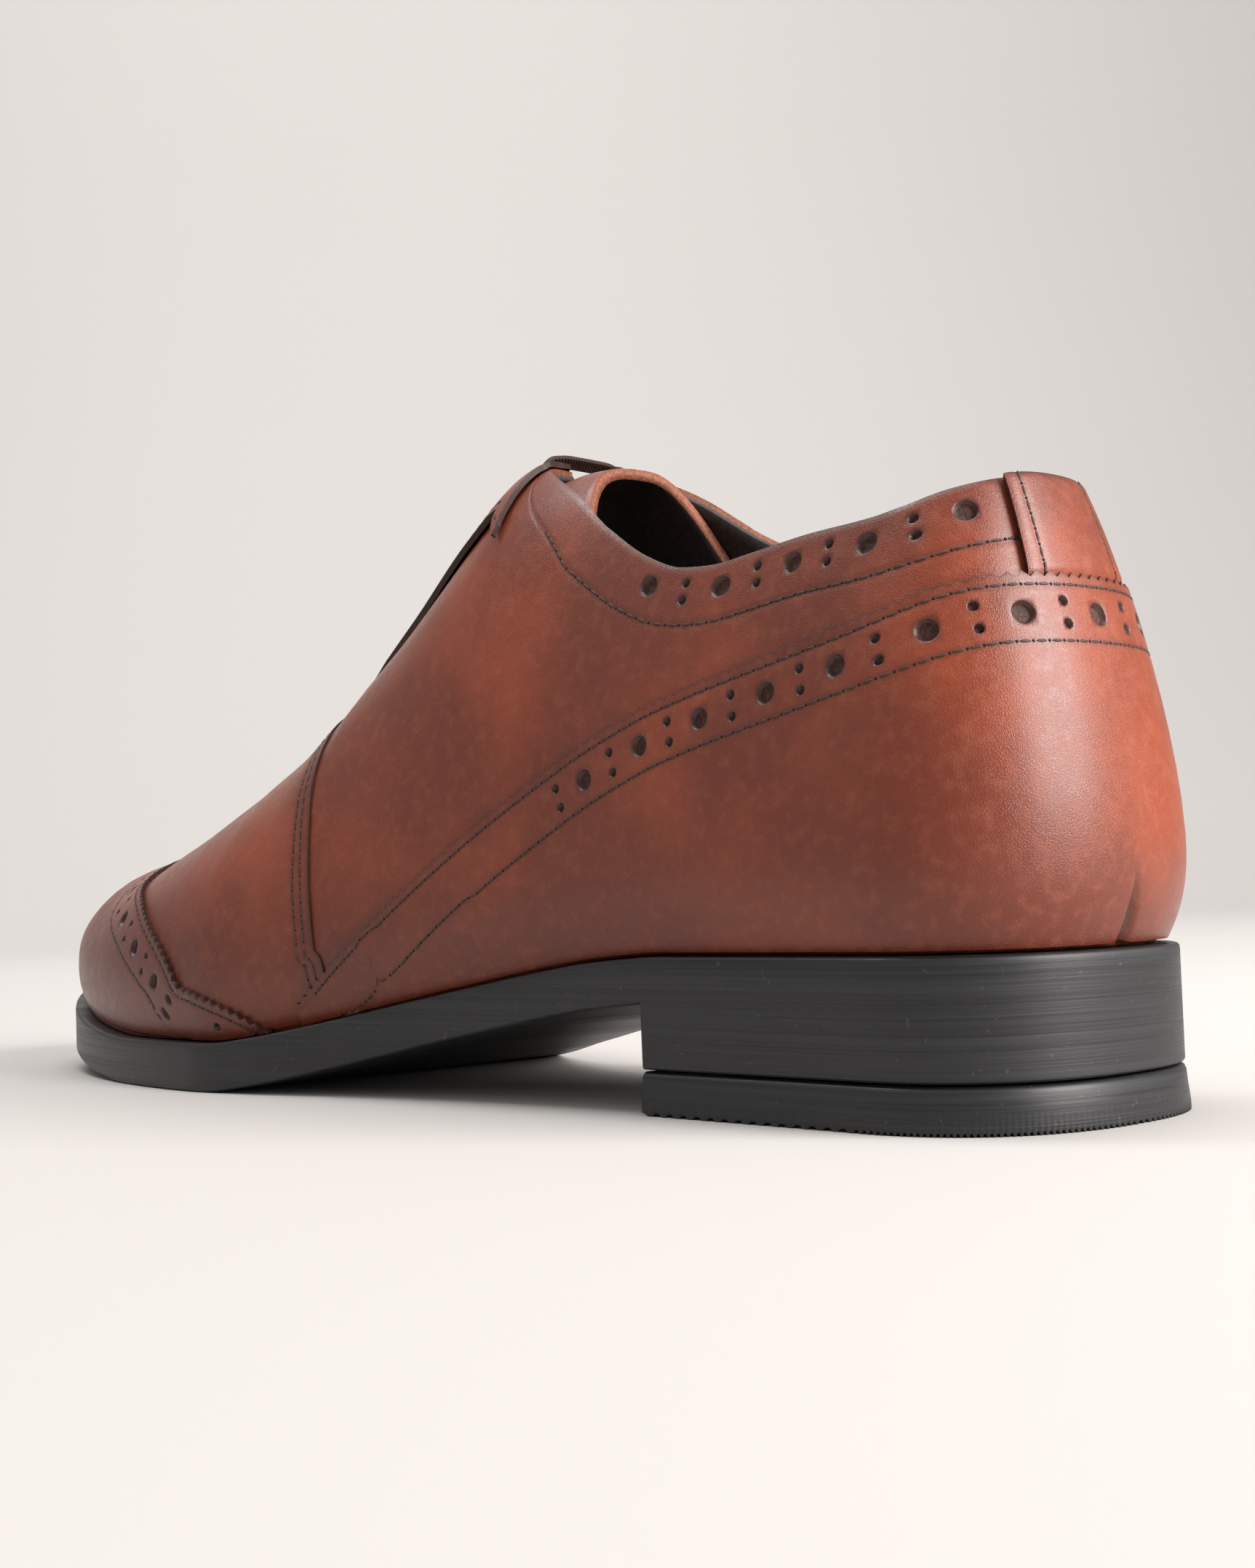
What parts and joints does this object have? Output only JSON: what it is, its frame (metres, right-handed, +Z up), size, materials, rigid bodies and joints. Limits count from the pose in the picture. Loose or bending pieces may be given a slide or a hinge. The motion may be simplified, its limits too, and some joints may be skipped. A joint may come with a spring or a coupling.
{
  "type": "brogue shoe",
  "caption": "Left leather brogue shoe with a wing cap, heel counter, closed laced throat, hollow upper and a rubber sole with a low block heel.",
  "frame": {"origin": "middle of the heel's resting face, on the floor", "axes": "+X towards the toe, +Y towards the outer side of the left shoe, +Z up"},
  "size_m": [0.3017, 0.1, 0.1205],
  "materials": {
    "tan_leather": "smooth, polished",
    "lining_leather": "matte",
    "tongue_leather": "satin",
    "sole_rubber": "satin",
    "lace_cotton": "matte"
  },
  "bodies": {
    "root": {"upper": "tan_leather", "heel_counter": "tan_leather", "back_strip": "tan_leather", "wing_cap": "tan_leather", "facing_lateral": "tan_leather", "facing_medial": "tan_leather", "tongue": "tongue_leather", "insole": "lining_leather", "outsole": "sole_rubber", "heel_top_lift": "sole_rubber", "lace_bar_1": "lace_cotton", "lace_bar_2": "lace_cotton", "lace_bar_3": "lace_cotton", "lace_bar_4": "lace_cotton", "lace_bar_5": "lace_cotton"}
  },
  "joints": []
}
